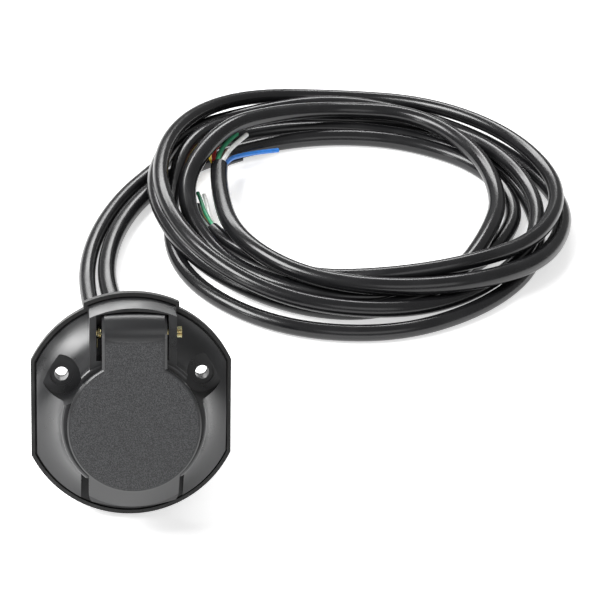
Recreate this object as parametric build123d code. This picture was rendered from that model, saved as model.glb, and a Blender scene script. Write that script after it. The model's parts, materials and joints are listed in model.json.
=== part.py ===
"""Trailer wiring socket with thirteen contacts, a sprung lid and two free cables.

The socket leans back on the floor: it rests on the lower edge of its flange gasket and on the
end of its rear boot. Each socket piece is drawn in the socket's own axes, with X across the
face, Y up the face and Z out along the plug axis from the mounting plane, and is then leaned
back and set on the floor. The cables are drawn where they lie. Units are millimetres.
"""
from build123d import *
import os
from math import atan2, cos, pi, radians, sin, tan

# ---------------------------------------------------------------- how it stands
LEAN = 28.0                      # the face leans back from upright by this many degrees

# ---------------------------------------------------------------- plug bore and flange
BORE_RADIUS = 21.0               # the plug goes in here
FLANGE_RADIUS = 42.0             # round outline of the flange
FLANGE_RISE = 1.6                # the outline's centre lies this far above the plug axis
FLANGE_SIDE_WALL = 1.8           # screw pocket to the flange's side flat
FLANGE_EDGE = 4.4                # height of the flange's upright edge
RIM_HEIGHT = 29.0                # mounting plane to the tube's front rim
RIM_ROUND = 1.5                  # rounding of the rim's outer edge
FLARE_SAG = 5.4                  # how far the flare's side curves in from a straight line
TUBE_WALL = 6.2                  # bore to the tube's outside, in the finger notch
SPIGOT_WALL = 5.2                # bore to the outside of the round spigot behind the flange
SPIGOT_LENGTH = 10.0
KEYWAY_WIDTH = 6.0
KEYWAY_DEPTH = 1.5
KEYWAY_ANGLES = (270.0, 30.0, 150.0)

# ---------------------------------------------------------------- mounting holes
HOLE_SET_OUT = 11.3316           # bore to hole circle, which sets the holes 56 apart
HOLE_RADIUS = 2.75
HOLE_ANGLES = (30.0, 150.0, 270.0)
POCKET_RADIUS = 8.0              # room for the screw head and its driver
POCKET_FLOOR = 8.0
SEAT_RADIUS = 4.6                # shallow ring around each hole
SEAT_DEPTH = 0.8

# ---------------------------------------------------------------- lid
LID_GAP = 0.5                    # rim to lid
LID_THICKNESS = 4.0
LID_EDGE = 0.6                   # bevel around the lid's face
SEAL_SET_OUT = 1.2               # bore to the lid seal
SEAL_WIDTH = 2.8
SEAL_FIT = 0.1                   # the seal's groove is this much wider on each side
SEAL_DEPTH = 0.7
SEAL_GAP = 0.15                  # seal to rim with the lid shut
LID_MARGIN = 0.9                 # seal to the lid's edge
RIM_MARGIN = 2.4                 # the tube's rim stands out past the lid's edge
TAB_HALF_WIDTH = 12.5
TAB_EDGE = 1.0                   # bevel along the tab's long edges
KNUCKLE_PROUD = 0.12             # the knuckle stands this far above the tab's face
KNUCKLE_CROWN = 0.5              # the knuckle swells by this at its middle
LIP_HALF_WIDTH = 17.6
LIP_DROP = 7.0                   # outside of the tube to the lip's lower edge
LIP_ARC = 60.0                   # the lower edge is a shallow arc
LIP_CORNER = 5.5
LIP_DEPTH = 8.7                  # the lip reaches this far behind the lid's back
LIP_FALL = 9.3                   # lid's face to the front of the lip's lower edge
LIP_STEP = 0.5                   # the lip starts this far below the lid's face
LIP_TUCK = 1.2                   # and this far inside the lid's edge
LIP_FOOT = 2.2                   # thickness of the lip's lower edge
LIP_ROOT = 2.5                   # the lip's back meets the tube this far behind the lid's back
LIP_WALL_GAP = 0.5
LIP_BEYOND = 4.0                 # the lip's cone is drawn this far past its lower edge
LIP_BEYOND_FALL = 1.6
FINGER_GAP = 15.3                # the housing is cut away behind the lip for a finger
NOTCH_MARGIN = 2.9               # and beside it

# ---------------------------------------------------------------- hinge
HINGE_SET_OUT = 8.0              # rim of the tube to the hinge pin's axis
HINGE_SET_BACK = 2.5             # the axis lies this far behind the rim
PIN_RADIUS = 1.5
PIN_HEAD_RADIUS = 2.2
PIN_HEAD_LENGTH = 2.0
PIN_HEAD_TEETH = 14
PIN_TOOTH = 0.35                 # depth of the head's serrations
PIN_RUNNING_GAP = 0.08
PIN_END_WALL = 0.5               # left over the pin's blind end
ARM_WALL_LEFT = 2.5
ARM_WALL_RIGHT = 3.2
TAB_SIDE_GAP = 0.7               # tab to right arm
ARM_HEIGHT = 3.5                 # pin axis to the front of the arms
ARM_TOP_LOW = 2.3                # the arms' flat tops run from below the pin
ARM_TOP_HIGH = 2.2               # to above it
BRIDGE_HEIGHT = 1.0              # pin axis to the front of the bridge
BRIDGE_WALL = 1.28
BRIDGE_ARC = 75.0                # the bridge's inner face is a shallow arc
BRIDGE_GAP = 0.6
BLOCK_OVERLAP = 8.3              # the hinge block starts this far inside the rim's outside
BLOCK_STEP = 0.4                 # and this far behind the rim
SLOT_MARGIN = 2.5                # the slot runs on below the knuckle
EAR_MARGIN = 0.5                 # hinge block to the side of the flange's ear

# ---------------------------------------------------------------- lid spring
WIRE_RADIUS = 0.4
SPRING_TURNS = 2
SPRING_SIDE_GAP = 0.5
SPRING_FIT = 0.1                 # clearance of the turns around the pin
SPRING_PITCH = 0.98              # turns press together, in wire diameters
SPRING_LEG_SHORT = 0.5           # the leg ends this far inside the knuckle's outside

# ---------------------------------------------------------------- flange gasket
GASKET_THICKNESS = 3.0
GASKET_MARGIN = 2.6              # the gasket is this much larger than the flange
GASKET_RISE = 1.0
GASKET_SIDE_MARGIN = 2.4
GASKET_FOOT_MARGIN = 3.9
GASKET_SOLE_EXTRA = 5.4          # the lower edge is a flatter arc, by this much radius
GASKET_EAR_MARGIN = 1.5
GASKET_LIP_HEIGHT = 2.2          # its lip stands up around the flange's edge
GASKET_LIP_WALL = 1.5
SPIGOT_GAP = 0.3

# ---------------------------------------------------------------- contacts and their carrier
CONTACT_COUNT_OUTER = 8
CONTACT_COUNT_INNER = 5
CONTACT_CIRCLE_INNER = 5.8
CONTACT_MARGIN = 4.2             # outer contact circle to the shroud's groove
CONTACT_RADIUS = 1.75
CONTACT_BORE = 1.2
CONTACT_DEPTH = 12.0
CONTACT_TAIL = 3.0               # solder cup behind the carrier
CUP_DEPTH = 2.0
CONTACT_RECESS = 1.0
CONTACT_GAP = 0.05
SHROUD_SET_IN = 1.2              # bore to the groove in the carrier's face
SHROUD_WIDTH = 3.4               # the groove takes the plug's shroud
SHROUD_DEPTH = 5.0
CARRIER_FACE = 12.0
CARRIER_SET_OUT = 1.0            # the tube is wider behind the plug's bore
CARRIER_GAP = 0.15
CARRIER_FLANGE = 2.5
CARRIER_INSET = 0.3              # the carrier's flange is smaller than the spigot
CARRIER_SEAL = 1.0
SCREW_RADIUS = 1.1
SCREW_LENGTH = 9.0
SCREW_HOLE_GAP = 0.2
SCREW_END_GAP = 0.5
SCREW_HEAD_RADIUS = 2.0
SCREW_HEAD_HEIGHT = 1.4
SCREW_CROSS_HALF = 1.2           # half length and half width of the cross in the head
SCREW_CROSS_SLIT = 0.3
SCREW_CROSS_DEPTH = 0.7
SCREW_ANGLES = (90.0, 210.0, 330.0)

# ---------------------------------------------------------------- rear boot
BOOT_WALL = 2.2
BOOT_GAP = 0.2
BOOT_COLLAR = 12.0               # straight front part of the boot
BOOT_END_RADIUS = 21.0
BOOT_BEAD = 1.0
BOOT_BEAD_WIDTH = 2.6
OUTLET_SPACE = 3.75              # keeps the two outlets apart
OUTLET_V = 8.0
OUTLET_LENGTH = 22.0
OUTLET_WALL_ROOT = 2.6
OUTLET_WALL_TIP = 1.4
OUTLET_GAP = 0.1
OUTLET_RIBS = 3
RIB_WIDTH = 1.2
RIB_PROUD = 0.3
RIB_TAPER = 0.35                 # each rib is this much smaller than the one before

# ---------------------------------------------------------------- cables
CABLE_A = 9.0                    # seven cores
CABLE_B = 8.0                    # six cores
CORE_A = 2.4                     # diameter of one insulated core
CORE_B = 2.0
CORE_GAP = 0.1                   # between the cores in a jacket
JACKET_INSIDE = 11.6             # length of jacket inside the boot
CORE_BARE = 1.0                  # radius of a core where it meets its contact
CORE_END_GAP = 0.7               # a slanted core ends this far behind the contact
COIL_CENTRE = (124.5, 183.1)     # on the floor, with the socket at the origin
COIL_INNER = 56.0
COIL_OUTER = 112.0
COIL_SHOULDER = 10.0             # height of the coil's inner and outer sides
COIL_HEIGHT = 26.0
COIL_SLOPE = 16.0                # how far the top draws in from each side
ROUTE_ARC = 0.45                 # an arc takes up to this much of the shorter run

# Where each lead lies after it leaves its outlet, up to the coil.
LEAD_A = [
    (3.0, 82.0, 5.2), (-5.0, 106.0, 4.5), (-7.2, 131.0, 4.5), (-2.5, 158.0, 4.5),
    (7.5, 183.0, 4.5), (21.0, 203.0, 4.5),
]
LEAD_B = [
    (-10.5, 82.0, 4.8), (-15.6, 106.0, 4.0), (-16.4, 134.0, 4.0), (-10.0, 164.0, 4.0),
    (3.0, 194.0, 4.0), (20.0, 218.0, 4.0),
]

# Each cable's cut end: where it is, which way it points, and where its bare cores lie.
END_A = (53.2, 205.8, 15.0)
HEADING_A = (0.12, 0.99, 0.0)
CORES_A = {
    "brown": [(55.2, 214.0, 13.6), (56.5, 221.0, 11.5), (60.0, 228.5, 10.0)],
    "blue": [(58.5, 213.5, 14.4), (66.0, 221.0, 12.0), (76.0, 227.2, 10.0), (87.0, 230.8, 9.0)],
    "white": [(57.6, 214.5, 17.4), (62.6, 222.0, 18.2), (69.5, 231.0, 18.6)],
    "green": [(54.0, 214.5, 18.6), (58.5, 222.0, 19.8), (64.0, 229.0, 20.3)],
    "red": [(50.6, 215.0, 16.6), (53.0, 222.5, 17.6), (58.0, 230.0, 18.0)],
    "yellow": [(49.6, 214.0, 13.8), (49.4, 222.0, 12.5), (52.0, 230.0, 11.5)],
    "black": [(57.2, 213.0, 11.2), (61.5, 220.0, 8.6), (67.0, 225.0, 7.0)],
}
END_B = (46.8, 161.1, 6.0)
HEADING_B = (-0.5, 0.86, 0.0)
CORES_B = {
    "black": [(43.0, 170.0, 5.6), (41.8, 178.0, 5.0), (41.4, 186.0, 4.4)],
    "white": [(45.8, 172.0, 7.0), (45.6, 180.0, 8.4), (44.2, 187.5, 9.4)],
    "green": [(43.6, 172.0, 8.6), (42.6, 180.0, 9.8), (41.0, 188.0, 10.2)],
    "grey": [(40.8, 170.0, 7.8), (39.4, 178.5, 7.8), (38.6, 189.0, 8.2)],
    "brown": [(40.2, 169.0, 4.6), (37.4, 177.5, 3.8), (36.4, 188.0, 3.6)],
    "yellow": [(44.8, 170.6, 3.0), (44.6, 178.0, 2.0), (43.4, 186.0, 1.6)],
}

# ---------------------------------------------------------------- sizes that follow from those above
SEAL_INNER = BORE_RADIUS + SEAL_SET_OUT
SEAL_OUTER = SEAL_INNER + SEAL_WIDTH
LID_RADIUS = SEAL_OUTER + LID_MARGIN
LID_BACK = RIM_HEIGHT + LID_GAP
LID_FRONT = LID_BACK + LID_THICKNESS
RIM_RADIUS = LID_RADIUS + RIM_MARGIN
TUBE_RADIUS = BORE_RADIUS + TUBE_WALL
SPIGOT_RADIUS = BORE_RADIUS + SPIGOT_WALL
HOLE_CIRCLE = BORE_RADIUS + HOLE_SET_OUT
POCKET_SPREAD = HOLE_CIRCLE * cos(radians(HOLE_ANGLES[0])) + POCKET_RADIUS
FLANGE_HALF_WIDTH = POCKET_SPREAD + FLANGE_SIDE_WALL

HINGE_V = RIM_RADIUS + HINGE_SET_OUT     # hinge axis: up the face, and out from the mounting plane
HINGE_W = RIM_HEIGHT - HINGE_SET_BACK
KNUCKLE_RADIUS = LID_FRONT - HINGE_W + KNUCKLE_PROUD
KNUCKLE_SWEEP = KNUCKLE_RADIUS + KNUCKLE_CROWN + BRIDGE_GAP
BRIDGE_INNER = HINGE_V + KNUCKLE_SWEEP   # the bridge's inner face at the middle of the slot
EAR_TOP = BRIDGE_INNER + BRIDGE_WALL
EAR_RADIUS = EAR_TOP - FLANGE_RISE
FLANGE_REACH = max(EAR_TOP, FLANGE_RADIUS + FLANGE_RISE)
SPRING_SPACE = 2 * WIRE_RADIUS * SPRING_TURNS + SPRING_SIDE_GAP
ARM_LEFT_INNER = -TAB_HALF_WIDTH - SPRING_SPACE
ARM_LEFT_OUTER = ARM_LEFT_INNER - ARM_WALL_LEFT
ARM_RIGHT_INNER = TAB_HALF_WIDTH + TAB_SIDE_GAP
ARM_RIGHT_OUTER = ARM_RIGHT_INNER + ARM_WALL_RIGHT
EAR_HALF_WIDTH = -ARM_LEFT_OUTER + EAR_MARGIN
PIN_LEFT_END = ARM_LEFT_OUTER + PIN_END_WALL

LIP_BOTTOM = TUBE_RADIUS + LIP_DROP
LIP_REACH = LID_BACK - LIP_DEPTH
LIP_NOSE = LID_FRONT - LIP_FALL
NOTCH_HALF_WIDTH = LIP_HALF_WIDTH + NOTCH_MARGIN
NOTCH_FLOOR = LIP_REACH - FINGER_GAP

GASKET_RADIUS = FLANGE_RADIUS + GASKET_MARGIN
GASKET_EAR_RADIUS = EAR_RADIUS + GASKET_MARGIN
GASKET_HALF_WIDTH = FLANGE_HALF_WIDTH + GASKET_SIDE_MARGIN
GASKET_FOOT = FLANGE_RADIUS - FLANGE_RISE + GASKET_FOOT_MARGIN
GASKET_SOLE_RADIUS = GASKET_RADIUS + GASKET_SOLE_EXTRA

SHROUD_OUTER = BORE_RADIUS - SHROUD_SET_IN
SHROUD_INNER = SHROUD_OUTER - SHROUD_WIDTH
CONTACT_CIRCLE_OUTER = SHROUD_INNER - CONTACT_MARGIN
CARRIER_SEAT_RADIUS = BORE_RADIUS + CARRIER_SET_OUT
CARRIER_RADIUS = SPIGOT_RADIUS - CARRIER_INSET
SCREW_CIRCLE = (CARRIER_SEAT_RADIUS + SPIGOT_RADIUS) / 2
CARRIER_BACK = -SPIGOT_LENGTH - CARRIER_SEAL - CARRIER_FLANGE

BOOT_FRONT = -GASKET_THICKNESS - BOOT_GAP
BOOT_RADIUS = SPIGOT_RADIUS + BOOT_GAP + BOOT_WALL
# The boot is as long as it takes for its lower end to touch the floor.
BOOT_END = -GASKET_THICKNESS - (GASKET_FOOT - BOOT_END_RADIUS) / tan(radians(LEAN))
BOOT_INNER_END = BOOT_END + BOOT_WALL
JACKET_END = BOOT_INNER_END + JACKET_INSIDE
OUTLET_HALF_SPACING = (CABLE_A + CABLE_B) / 4 + OUTLET_SPACE
TALL = 80.0                      # longer than any piece, for cutting right through


def tube(inner, outer, low, high):
    """A plain ring around the plug axis between two heights."""
    ring = Circle(outer) - Circle(inner)
    return Pos(0, 0, low) * extrude(ring, high - low)


def rod(radius, low, high, x=0.0, y=0.0):
    """A round bar along the plug axis between two heights."""
    return Pos(x, y, low) * extrude(Circle(radius), high - low)


def block(x_low, x_high, y_low, y_high, z_low, z_high):
    """A square-cornered block between three pairs of limits."""
    size = (x_high - x_low, y_high - y_low, z_high - z_low)
    middle = ((x_low + x_high) / 2, (y_low + y_high) / 2, (z_low + z_high) / 2)
    return Pos(*middle) * Box(*size)


def across(profile_points, x_low, x_high):
    """A side profile of (y, z) points carried across the face from x_low to x_high."""
    side = Plane((x_low, 0, 0), x_dir=(0, 1, 0), z_dir=(1, 0, 0))
    return extrude(side * make_face(Polyline(*profile_points, close=True)), x_high - x_low)


def on_circle(radius, angle):
    return radius * cos(radians(angle)), radius * sin(radians(angle))


def flange_outline():
    """The flange seen from the front: round, with side flats and an ear over the hinge."""
    disc = Pos(0, FLANGE_RISE) * Circle(FLANGE_RADIUS)
    ear = Pos(0, FLANGE_RISE) * Circle(EAR_RADIUS)
    ear = ear & (Pos(0, EAR_TOP) * Rectangle(2 * EAR_HALF_WIDTH, EAR_TOP))
    return (disc + ear) & Rectangle(2 * FLANGE_HALF_WIDTH, 4 * FLANGE_RADIUS)


def flare():
    """The curved skirt from the flange's edge up to the rim of the tube."""
    low = Vector(FLANGE_REACH, 0, FLANGE_EDGE)
    high = Vector(RIM_RADIUS, 0, RIM_HEIGHT - RIM_ROUND)
    inward = (high - low).normalized().cross(Vector(0, 1, 0))
    side = ThreePointArc(low, (low + high) / 2 + inward * FLARE_SAG, high)
    top = Vector(RIM_RADIUS - RIM_ROUND, 0, RIM_HEIGHT)
    round_middle = Vector(top.X + RIM_ROUND * sin(pi / 4), 0, high.Z + RIM_ROUND * sin(pi / 4))
    edge = ThreePointArc(high, round_middle, top)
    rest = Polyline(top, (0, 0, RIM_HEIGHT), (0, 0, 0), (FLANGE_REACH, 0, 0), low)
    return revolve(make_face(side + edge + rest), Axis.Z)


def hinge_block():
    """The block that carries the hinge pin, still without the slot for the lid's tab."""
    low = RIM_RADIUS - BLOCK_OVERLAP
    front = HINGE_W + ARM_HEIGHT
    side = [(low, 0), (low, RIM_HEIGHT - BLOCK_STEP), (HINGE_V - ARM_TOP_LOW, front),
            (HINGE_V + ARM_TOP_HIGH, front), (EAR_TOP, HINGE_W + BRIDGE_HEIGHT), (EAR_TOP, 0)]
    return across(side, ARM_LEFT_OUTER, ARM_RIGHT_OUTER)


def tab_slot():
    """The opening in the hinge block in which the lid's tab turns."""
    low = HINGE_V - KNUCKLE_SWEEP - SLOT_MARGIN
    width = ARM_RIGHT_INNER - ARM_LEFT_INNER
    middle = ((ARM_RIGHT_INNER + ARM_LEFT_INNER) / 2, (low + BRIDGE_INNER) / 2)
    window = Pos(*middle) * Rectangle(width, BRIDGE_INNER - low)
    window = window & (Pos(0, BRIDGE_INNER - BRIDGE_ARC) * Circle(BRIDGE_ARC))
    return Pos(0, 0, HINGE_W - KNUCKLE_SWEEP) * extrude(window, TALL)


def pin_bar(radius, x_low, x_high):
    """A bar on the hinge axis."""
    bar = Plane((x_low, HINGE_V, HINGE_W), x_dir=(0, 1, 0), z_dir=(1, 0, 0)) * Circle(radius)
    return extrude(bar, x_high - x_low)


def housing():
    shell = extrude(flange_outline(), TALL) & (flare() + hinge_block())
    shell += rod(SPIGOT_RADIUS, -SPIGOT_LENGTH, FLANGE_EDGE)
    notch = block(-NOTCH_HALF_WIDTH, NOTCH_HALF_WIDTH, -TALL, -BORE_RADIUS, NOTCH_FLOOR, TALL)
    shell -= notch - rod(TUBE_RADIUS, 0, TALL)
    for angle in HOLE_ANGLES:
        x, y = on_circle(HOLE_CIRCLE, angle)
        shell -= rod(POCKET_RADIUS, POCKET_FLOOR, TALL, x, y)
        shell -= rod(SEAT_RADIUS, POCKET_FLOOR - SEAT_DEPTH, TALL, x, y)
        shell -= rod(HOLE_RADIUS, -TALL, TALL, x, y)
    shell -= rod(BORE_RADIUS, -TALL, TALL) + rod(CARRIER_SEAT_RADIUS, -TALL, CARRIER_FACE)
    for angle in KEYWAY_ANGLES:
        half = KEYWAY_WIDTH / 2
        slot = block(half, BORE_RADIUS + KEYWAY_DEPTH, -half, half, CARRIER_FACE, TALL)
        shell -= Rot(0, 0, angle) * slot
    for angle in SCREW_ANGLES:
        x, y = on_circle(SCREW_CIRCLE, angle)
        shell -= rod(SCREW_RADIUS, -TALL, -SPIGOT_LENGTH + SCREW_LENGTH, x, y)
    shell -= tab_slot()
    shell -= pin_bar(PIN_RADIUS, PIN_LEFT_END, TALL)
    return shell


def gasket_outline(inset=0.0):
    """The gasket's outline, or the same outline drawn in by an inset."""
    disc = Pos(0, GASKET_RISE) * Circle(GASKET_RADIUS - inset)
    ear = Pos(0, GASKET_RISE) * Circle(GASKET_EAR_RADIUS - inset)
    ear_width = 2 * (EAR_HALF_WIDTH + GASKET_EAR_MARGIN - inset)
    ear = ear & (Pos(0, GASKET_EAR_RADIUS) * Rectangle(ear_width, GASKET_EAR_RADIUS))
    foot = GASKET_FOOT - inset
    sole = Pos(0, GASKET_SOLE_RADIUS - foot) * Circle(GASKET_SOLE_RADIUS)
    sides = Rectangle(2 * (GASKET_HALF_WIDTH - inset), 4 * GASKET_RADIUS)
    return (disc & sole & sides) + (ear & sides)


def flange_gasket():
    plate = Pos(0, 0, -GASKET_THICKNESS) * extrude(gasket_outline(), GASKET_THICKNESS)
    lip = extrude(gasket_outline() - gasket_outline(GASKET_LIP_WALL), GASKET_LIP_HEIGHT)
    lip -= extrude(flange_outline(), GASKET_LIP_HEIGHT)
    pad = plate + lip - rod(SPIGOT_RADIUS + SPIGOT_GAP, -TALL, TALL)
    for angle in HOLE_ANGLES:
        x, y = on_circle(HOLE_CIRCLE, angle)
        pad -= rod(HOLE_RADIUS, -TALL, TALL, x, y)
    return pad


def knuckle():
    """The barrel at the end of the tab, turned about the hinge axis."""
    half = TAB_HALF_WIDTH
    shoulder = half - TAB_EDGE
    crown = KNUCKLE_RADIUS + KNUCKLE_CROWN
    low = KNUCKLE_RADIUS - TAB_EDGE
    swell = ThreePointArc((-shoulder, KNUCKLE_RADIUS, 0), (0, crown, 0), (shoulder, KNUCKLE_RADIUS, 0))
    ends = Polyline((shoulder, KNUCKLE_RADIUS, 0), (half, low, 0), (half, 0, 0), (-half, 0, 0),
                    (-half, low, 0), (-shoulder, KNUCKLE_RADIUS, 0))
    barrel = revolve(make_face(swell + ends), Axis.X)
    return Pos(0, HINGE_V, HINGE_W) * barrel


def tab_plate():
    """The flat part of the tab, with its two long front edges bevelled."""
    half = TAB_HALF_WIDTH
    section = Polyline((-half, LID_BACK), (half, LID_BACK), (half, LID_FRONT - TAB_EDGE),
                       (half - TAB_EDGE, LID_FRONT), (TAB_EDGE - half, LID_FRONT),
                       (-half, LID_FRONT - TAB_EDGE), close=True)
    start = Plane((0, 0, 0), x_dir=(1, 0, 0), z_dir=(0, -1, 0))
    return extrude(start * make_face(section), -HINGE_V)


def finger_lip():
    """The smooth lip at the lid's lower edge, which slants back over the third mounting hole."""
    inner = TUBE_RADIUS - LID_GAP
    far = LIP_BOTTOM + LIP_BEYOND
    side = Polyline((LIP_FOOT, 0, LID_BACK), (LIP_FOOT, 0, LID_FRONT - LIP_STEP),
                    (LID_RADIUS - LIP_TUCK, 0, LID_FRONT - LIP_STEP), (LIP_BOTTOM, 0, LIP_NOSE),
                    (far, 0, LIP_NOSE - LIP_BEYOND_FALL), (far, 0, LIP_REACH),
                    (LIP_BOTTOM - LIP_FOOT, 0, LIP_REACH), (inner, 0, LID_BACK - LIP_ROOT),
                    (inner, 0, LID_BACK), close=True)
    skirt = revolve(make_face(side), Axis.Z)
    plan = Pos(0, -LIP_BOTTOM / 2) * Rectangle(2 * LIP_HALF_WIDTH, LIP_BOTTOM)
    plan = fillet(plan.vertices().group_by(Axis.Y)[0], LIP_CORNER)
    plan = plan & (Pos(0, LIP_ARC - LIP_BOTTOM) * Circle(LIP_ARC))
    rim = tube(TUBE_RADIUS, RIM_RADIUS + LIP_WALL_GAP, 0, LID_BACK)
    wall = rod(TUBE_RADIUS + LIP_WALL_GAP, 0, LID_BACK)
    wall += rim & block(-TALL, TALL, -BORE_RADIUS, TALL, 0, TALL)
    return (skirt & extrude(plan, TALL)) - wall


def lid():
    disc = rod(LID_RADIUS, LID_BACK, LID_FRONT)
    disc = chamfer(disc.edges().filter_by(GeomType.CIRCLE).group_by(Axis.Z)[-1], LID_EDGE)
    cover = disc + tab_plate() + knuckle() + finger_lip()
    cover -= tube(SEAL_INNER - SEAL_FIT, SEAL_OUTER + SEAL_FIT, 0, LID_BACK + SEAL_DEPTH)
    cover -= pin_bar(PIN_RADIUS + PIN_RUNNING_GAP, -TALL, TALL)
    return cover


def lid_seal():
    return tube(SEAL_INNER, SEAL_OUTER, RIM_HEIGHT + SEAL_GAP, LID_BACK + SEAL_DEPTH)


def hinge_pin():
    """Steel pin with a serrated head outside the right arm."""
    bar = pin_bar(PIN_RADIUS, PIN_LEFT_END, ARM_RIGHT_OUTER)
    side = Plane((ARM_RIGHT_OUTER, HINGE_V, HINGE_W), x_dir=(0, 1, 0), z_dir=(1, 0, 0))
    star = []
    for tooth in range(2 * PIN_HEAD_TEETH):
        reach = PIN_HEAD_RADIUS if tooth % 2 == 0 else PIN_HEAD_RADIUS - PIN_TOOTH
        star.append(on_circle(reach, tooth * 180.0 / PIN_HEAD_TEETH))
    head = extrude(side * make_face(Polyline(*star, close=True)), PIN_HEAD_LENGTH)
    return bar + head


def lid_spring():
    """Torsion spring on the pin, in the left gap beside the tab, with one leg along the arm."""
    ring = PIN_RADIUS + PIN_RUNNING_GAP + SPRING_FIT + WIRE_RADIUS
    gap_middle = (ARM_LEFT_INNER - TAB_HALF_WIDTH) / 2
    pitch = 2 * WIRE_RADIUS * SPRING_PITCH
    first = gap_middle - pitch * (SPRING_TURNS - 1) / 2
    coil = None
    for turn in range(SPRING_TURNS):
        middle = Plane((first + turn * pitch, HINGE_V, HINGE_W), x_dir=(0, 1, 0), z_dir=(1, 0, 0))
        loop = middle * Torus(ring, WIRE_RADIUS)
        coil = loop if coil is None else coil + loop
    foot = Plane((first, HINGE_V, HINGE_W - ring), x_dir=(1, 0, 0), z_dir=(0, -1, 0))
    leg = extrude(foot * Circle(WIRE_RADIUS), KNUCKLE_RADIUS - SPRING_LEG_SHORT)
    return coil + leg


def contact_places():
    """The thirteen contacts' places on the carrier's face, outer circle first."""
    places = []
    circles = ((CONTACT_COUNT_OUTER, CONTACT_CIRCLE_OUTER), (CONTACT_COUNT_INNER, CONTACT_CIRCLE_INNER))
    for count, circle in circles:
        for index in range(count):
            places.append(on_circle(circle, 90.0 + (index + 0.5) * 360.0 / count))
    return places


def contact(x, y):
    front = CARRIER_FACE - CONTACT_RECESS
    back = CARRIER_BACK - CONTACT_TAIL
    sleeve = rod(CONTACT_RADIUS, back, front, x, y)
    sleeve -= rod(CONTACT_BORE, front - CONTACT_DEPTH, front, x, y)
    return sleeve - rod(CORE_BARE, back, back + CUP_DEPTH, x, y)


def contact_carrier():
    """Insulating insert that holds the contacts and closes the tube from behind."""
    insert = rod(CARRIER_SEAT_RADIUS - CARRIER_GAP, CARRIER_BACK, CARRIER_FACE)
    insert -= tube(SHROUD_INNER, SHROUD_OUTER, CARRIER_FACE - SHROUD_DEPTH, CARRIER_FACE)
    insert += rod(CARRIER_RADIUS, CARRIER_BACK, CARRIER_BACK + CARRIER_FLANGE)
    for x, y in contact_places():
        insert -= rod(CONTACT_RADIUS + CONTACT_GAP, -TALL, CARRIER_FACE - CONTACT_RECESS, x, y)
        insert -= rod(CONTACT_BORE, 0, TALL, x, y)
    for angle in SCREW_ANGLES:
        x, y = on_circle(SCREW_CIRCLE, angle)
        insert -= rod(SCREW_RADIUS + SCREW_HOLE_GAP, -TALL, CARRIER_BACK + CARRIER_FLANGE, x, y)
    return insert


def carrier_seal():
    ring = tube(CARRIER_SEAT_RADIUS, CARRIER_RADIUS, -SPIGOT_LENGTH - CARRIER_SEAL, -SPIGOT_LENGTH)
    for angle in SCREW_ANGLES:
        x, y = on_circle(SCREW_CIRCLE, angle)
        ring -= rod(SCREW_RADIUS + SCREW_HOLE_GAP, -TALL, 0, x, y)
    return ring


def carrier_screws():
    """Three self-tapping screws, driven from behind into the spigot."""
    screws = []
    for angle in SCREW_ANGLES:
        x, y = on_circle(SCREW_CIRCLE, angle)
        tip = -SPIGOT_LENGTH + SCREW_LENGTH - SCREW_END_GAP
        shank = rod(SCREW_RADIUS, CARRIER_BACK, tip, x, y)
        head = rod(SCREW_HEAD_RADIUS, CARRIER_BACK - SCREW_HEAD_HEIGHT, CARRIER_BACK, x, y)
        cross_top = CARRIER_BACK - SCREW_HEAD_HEIGHT + SCREW_CROSS_DEPTH
        size = (2 * SCREW_CROSS_HALF, 2 * SCREW_CROSS_SLIT, 2 * SCREW_HEAD_HEIGHT)
        bar = Pos(x, y, cross_top - SCREW_HEAD_HEIGHT) * Box(*size)
        cross = bar + Pos(x, y, 0) * Rot(0, 0, 90) * Pos(-x, -y, 0) * bar
        screws.append(shank + head - cross)
    return screws


def outlets():
    """Each cable's outlet: across-the-face place and cable diameter."""
    return ((OUTLET_HALF_SPACING, CABLE_A), (-OUTLET_HALF_SPACING, CABLE_B))


def rear_boot():
    """Rubber boot over the spigot, tapering to a flat end with two ribbed outlets."""
    taper_start = BOOT_FRONT - BOOT_COLLAR
    bead_back = BOOT_FRONT - BOOT_BEAD_WIDTH
    bead = BOOT_RADIUS + BOOT_BEAD
    hollow = BOOT_RADIUS - BOOT_WALL
    wall = Polyline((hollow, 0, BOOT_FRONT), (bead, 0, BOOT_FRONT), (bead, 0, bead_back),
                    (BOOT_RADIUS, 0, bead_back), (BOOT_RADIUS, 0, taper_start),
                    (BOOT_END_RADIUS, 0, BOOT_END), (0, 0, BOOT_END), (0, 0, BOOT_INNER_END),
                    (BOOT_END_RADIUS - BOOT_WALL, 0, BOOT_INNER_END), (hollow, 0, taper_start),
                    close=True)
    boot = revolve(make_face(wall), Axis.Z)
    for x, diameter in outlets():
        bore = diameter / 2 + OUTLET_GAP
        root = bore + OUTLET_WALL_ROOT
        tip = BOOT_END - OUTLET_LENGTH
        spout = Polyline((0, 0, BOOT_INNER_END), (root, 0, BOOT_INNER_END), (root, 0, BOOT_END),
                         (bore + OUTLET_WALL_TIP, 0, tip), (0, 0, tip), close=True)
        boot += Pos(x, OUTLET_V) * revolve(make_face(spout), Axis.Z)
        for rib in range(OUTLET_RIBS):
            z = BOOT_END - OUTLET_LENGTH * (rib + 1) / (OUTLET_RIBS + 1)
            radius = root + RIB_PROUD - RIB_TAPER * rib
            boot += rod(radius, z - RIB_WIDTH, z, x, OUTLET_V)
    for x, diameter in outlets():
        boot -= rod(diameter / 2 + OUTLET_GAP, -2 * TALL, BOOT_INNER_END, x, OUTLET_V)
    return boot


def core_places(count, diameter):
    """Places of a cable's cores inside its jacket: one in the middle and the rest around it."""
    ring = diameter + CORE_GAP
    places = [(0.0, 0.0)]
    for index in range(count - 1):
        places.append(on_circle(ring, index * 360.0 / (count - 1)))
    return places


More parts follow.
